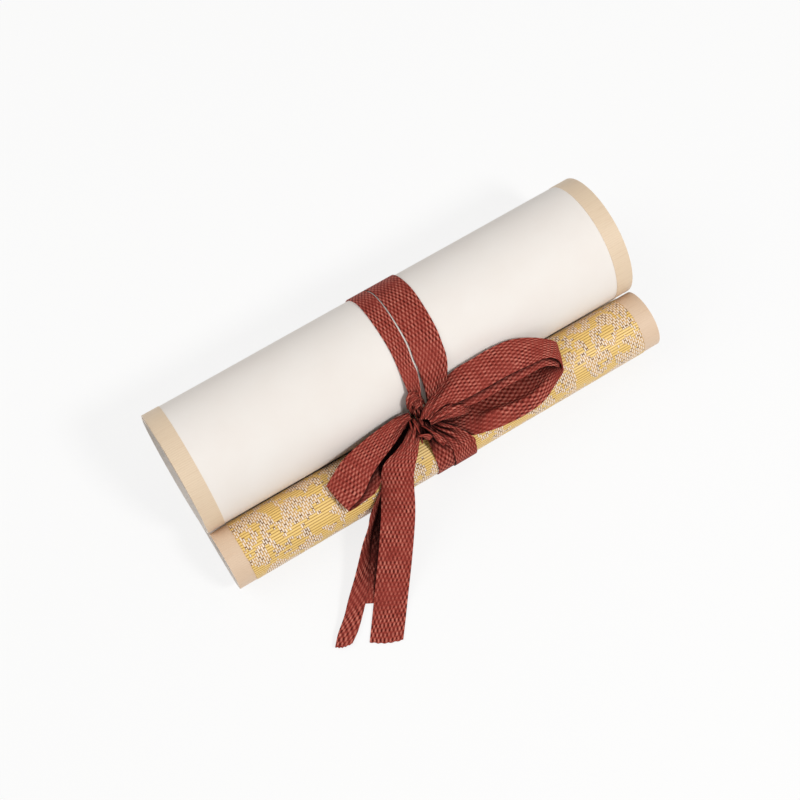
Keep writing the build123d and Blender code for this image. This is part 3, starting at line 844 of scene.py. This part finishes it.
# the back tail is folded along its length: left edge, crease, and right edge under the front tail
backTail = [
    ((-6.9, -11.9, 21.4), (-6.4, -12.6, 21.8), (-5.9, -13.3, 21.4)),
    ((-14.4, -15.2, 19.4), (-13.6, -16.2, 20.0), (-12.0, -17.4, 19.0)),
    ((-21.0, -18.2, 17.2), (-19.6, -18.8, 17.8), (-16.6, -20.0, 16.8)),
    ((-28.6, -23.0, 12.4), (-24.4, -21.0, 13.6), (-22.1, -23.0, 13.0)),
    ((-31.4, -25.9, 10.0), (-26.8, -23.4, 9.5), (-24.3, -26.8, 10.3)),
    ((-34.8, -28.6, 8.0), (-30.1, -26.3, 6.5), (-27.3, -30.8, 7.0)),
    ((-38.3, -31.9, 6.2), (-33.1, -29.7, 4.1), (-30.2, -33.4, 4.9)),
    ((-41.9, -35.3, 4.8), (-35.6, -33.5, 2.4), (-33.2, -37.8, 2.7)),
    ((-45.7, -38.7, 3.6), (-38.4, -37.5, 1.5), (-36.6, -41.6, 0.9)),
    ((-49.2, -42.1, 2.6), (-42.2, -41.7, 1.0), (-38.8, -43.4, 0.5)),
    ((-53.1, -45.2, 1.7), (-47.4, -46.8, 0.8), None),
    ((-55.7, -47.9, 1.2), (-50.9, -49.3, 0.7), None),
]
leftFlap = [bent(left, crease) for left, crease, _ in backTail]
rightFlap = [bent(crease, right) for _, crease, right in backTail if right]
addRibbonRun(leftFlap, 1.0, clothWidth=4.5, sway=0.04, endCut=0.2)
addRibbonRun(rightFlap, 1.0, clothWidth=4.5, sway=0.03)

# the knot: a short band across the left strand, and twisted cords of ribbon below it
knob = [
    flat((-6.5, -7.4, 24.6), (0.15, -0.75, -0.65), 4.0, 0.3),
    flat((-6.3, -6.9, 26.6), (0.12, -0.75, -0.65), 4.6, 0.5),
    flat((-5.0, -6.3, 28.0), (0.1, -0.75, -0.65), 4.8, 0.7),
    flat((-3.2, -6.0, 28.0), (0.1, -0.75, -0.65), 4.8, 0.7),
    flat((-1.9, -6.2, 26.8), (0.1, -0.75, -0.65), 4.4, 0.5),
    flat((-1.7, -6.8, 24.8), (0.1, -0.75, -0.65), 4.0, 0.3),
]
addRibbonRun(knob, 2.2, phase=0.2)


# a narrow twisted cord of gathered ribbon through places, with the way across turning as it goes
def addCord(places, width, turns, phase):
    rows = np.array(places, float)
    way = unit(np.gradient(rows, axis=0))
    stations = []
    for i, (place, ahead) in enumerate(zip(rows, way)):
        side = unit(np.cross(ahead, (0, 0, 1)))
        over = np.cross(side, ahead)
        turn = turns * 2 * math.pi * i / (len(rows) - 1) + phase
        across = side * math.cos(turn) + over * math.sin(turn)
        rise = np.cross(ahead, across) * width * 0.45
        stations.append(bent(
            place - across * width / 2, place + rise, place + across * width / 2, gather=0.45,
        ))
    addRibbonRun(stations, 2.0, clothWidth=5.0, phase=phase)


addCord([
    (-5.4, -8.8, 24.0), (-6.0, -10.2, 25.2), (-6.1, -12.2, 25.2), (-6.4, -14.2, 24.0), (-6.9, -15.8, 21.8),
], 2.0, 0.2, -0.3)
addCord([
    (-6.6, -9.0, 23.6), (-7.1, -10.4, 24.6), (-7.9, -12.4, 24.0), (-8.9, -14.0, 22.8),
], 2.0, 0.2, 0.2)
addCord([
    (-8.2, -13.4, 23.2), (-7.4, -13.9, 24.4), (-6.2, -14.8, 24.2), (-5.4, -15.4, 22.4),
], 1.9, 0.3, 0.3)
addCord([
    (-5.6, -10.2, 22.6), (-3.0, -11.0, 23.2), (-0.4, -12.2, 22.8),
], 2.6, 0.2, 0.1)
addCord([
    (-5.2, -11.4, 24.2), (-4.8, -12.4, 24.7), (-4.2, -14.2, 24.1), (-3.2, -16.0, 22.2), (-2.2, -18.0, 19.4),
], 1.8, 0.4, 0.0)

ribbon = ribbonMaker.build("tiedRibbon", wovenRibbon(ribbonLook), smoothAngle=70)
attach(ribbon, "root")
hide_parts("ribbon")
print("ribbon runs add up to", round(sum(runLengths)), "mm")

print("stage: studio")
studio = {
    "floorColour": "EFEEEC",
    "floorSize": 8.0,                  # metres
    "backgroundShare": 0.8,            # how much plain white the camera sees in the floor
    "skyStrength": 0.42,
    "keyPower": 4.9,                   # watts
    "keyPlace": (0.30, -0.55, 0.75),   # metres
    "keySize": 0.22,                   # metres across
    "fillPower": 2.8,
    "fillPlace": (-0.6, 0.35, 0.7),
    "fillSize": 0.8,
}


# pale floor that shows plain white to the camera and in reflections, and keeps a soft shadow
def makeFloor(setup):
    material, tree = newMaterial("paleFloor")
    diffuse = addNode(tree, "ShaderNodeBsdfDiffuse", {"Color": toLinear(setup["floorColour"])})
    white = addNode(tree, "ShaderNodeEmission", {"Color": (1, 1, 1, 1), "Strength": 1.0})
    rays = addNode(tree, "ShaderNodeLightPath")
    seen = calc(tree, "MAXIMUM", rays.outputs["Is Camera Ray"], rays.outputs["Is Glossy Ray"])
    seen = calc(tree, "MAXIMUM", seen, rays.outputs["Is Transmission Ray"])
    share = calc(tree, "MULTIPLY", seen, setup["backgroundShare"])
    mixed = addNode(tree, "ShaderNodeMixShader", {0: share, 1: diffuse.outputs[0], 2: white.outputs[0]})
    finishMaterial(tree, mixed)
    half = setup["floorSize"] / 2
    corners = [(-half, -half, 0), (half, -half, 0), (half, half, 0), (-half, half, 0)]
    mesh = bpy.data.meshes.new("floor")
    mesh.from_pydata(corners, [], [(0, 1, 2, 3)])
    mesh.materials.append(material)
    floor = bpy.data.objects.new("floor", mesh)
    bpy.context.scene.collection.objects.link(floor)


def makeSky(setup):
    world = bpy.data.worlds.new("sky")
    world.use_nodes = True
    tree = world.node_tree
    tree.nodes.clear()
    rays = addNode(tree, "ShaderNodeLightPath")
    soft = addNode(tree, "ShaderNodeBackground", {"Color": (1, 1, 1, 1), "Strength": setup["skyStrength"]})
    white = addNode(tree, "ShaderNodeBackground", {"Color": (1, 1, 1, 1), "Strength": 1.0})
    seen = calc(tree, "MAXIMUM", rays.outputs["Is Camera Ray"], rays.outputs["Is Transmission Ray"])
    mixed = addNode(tree, "ShaderNodeMixShader", {0: seen, 1: soft.outputs[0], 2: white.outputs[0]})
    addNode(tree, "ShaderNodeOutputWorld", {"Surface": mixed.outputs[0]})
    bpy.context.scene.world = world


def makeLamp(name, place, size, power):
    data = bpy.data.lights.new(name, "AREA")
    data.shape = "DISK"
    data.size = size
    data.energy = power
    lamp = bpy.data.objects.new(name, data)
    lamp.location = place
    lamp.rotation_mode = "QUATERNION"
    lamp.rotation_quaternion = (-Vector(place)).to_track_quat("-Z", "Y")
    bpy.context.scene.collection.objects.link(lamp)


makeFloor(studio)
makeSky(studio)
makeLamp("keyLamp", studio["keyPlace"], studio["keySize"], studio["keyPower"])
makeLamp("fillLamp", studio["fillPlace"], studio["fillSize"], studio["fillPower"])
bpy.context.scene.view_settings.view_transform = "Standard"
